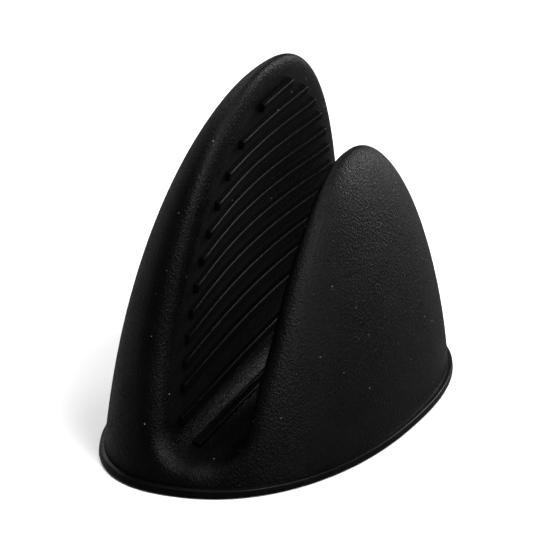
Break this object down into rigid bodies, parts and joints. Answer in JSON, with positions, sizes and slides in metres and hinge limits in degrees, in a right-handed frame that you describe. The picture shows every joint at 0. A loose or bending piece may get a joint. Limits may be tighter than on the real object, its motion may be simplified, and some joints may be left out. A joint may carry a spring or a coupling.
{
  "type": "pinch oven mitt",
  "caption": "Moulded silicone pinch mitt: a tall finger pocket and a shorter thumb pocket share one oval mouth, and ribbed gripping faces line the flexing valley between them.",
  "frame": {"origin": "centre of the oval mouth, in the plane of the rim that the mitt stands on", "axes": "+Z from the mouth up to the tips, +X across the valley from the finger pocket to the thumb pocket, +Y along the valley"},
  "size_m": [0.0807, 0.1286, 0.0975],
  "materials": {
    "silicone": "matte moulded silicone with a fine leathery grain"
  },
  "bodies": {
    "finger_side": {"finger_back_shell": "silicone", "finger_grip_panel": "silicone", "finger_grip_ribs": "silicone", "finger_cuff": "silicone", "finger_rim_bead": "silicone", "valley_web": "silicone", "front_gusset": "silicone", "rear_gusset": "silicone", "front_rim_bead": "silicone", "rear_rim_bead": "silicone"},
    "thumb_side": {"thumb_back_shell": "silicone", "thumb_grip_panel": "silicone", "thumb_grip_ribs": "silicone", "thumb_cuff": "silicone", "thumb_rim_bead": "silicone"}
  },
  "joints": [
    {"name": "pinch", "type": "hinge", "parent": "finger_side", "child": "thumb_side", "pos_m": [0.006, 0, 0.007], "axis": [0, -1, 0], "range_deg": [-12, 15], "stiffness_Nm_per_rad": 0.6, "deforming": ["valley_web", "front_gusset", "rear_gusset", "front_rim_bead", "rear_rim_bead"]}
  ]
}
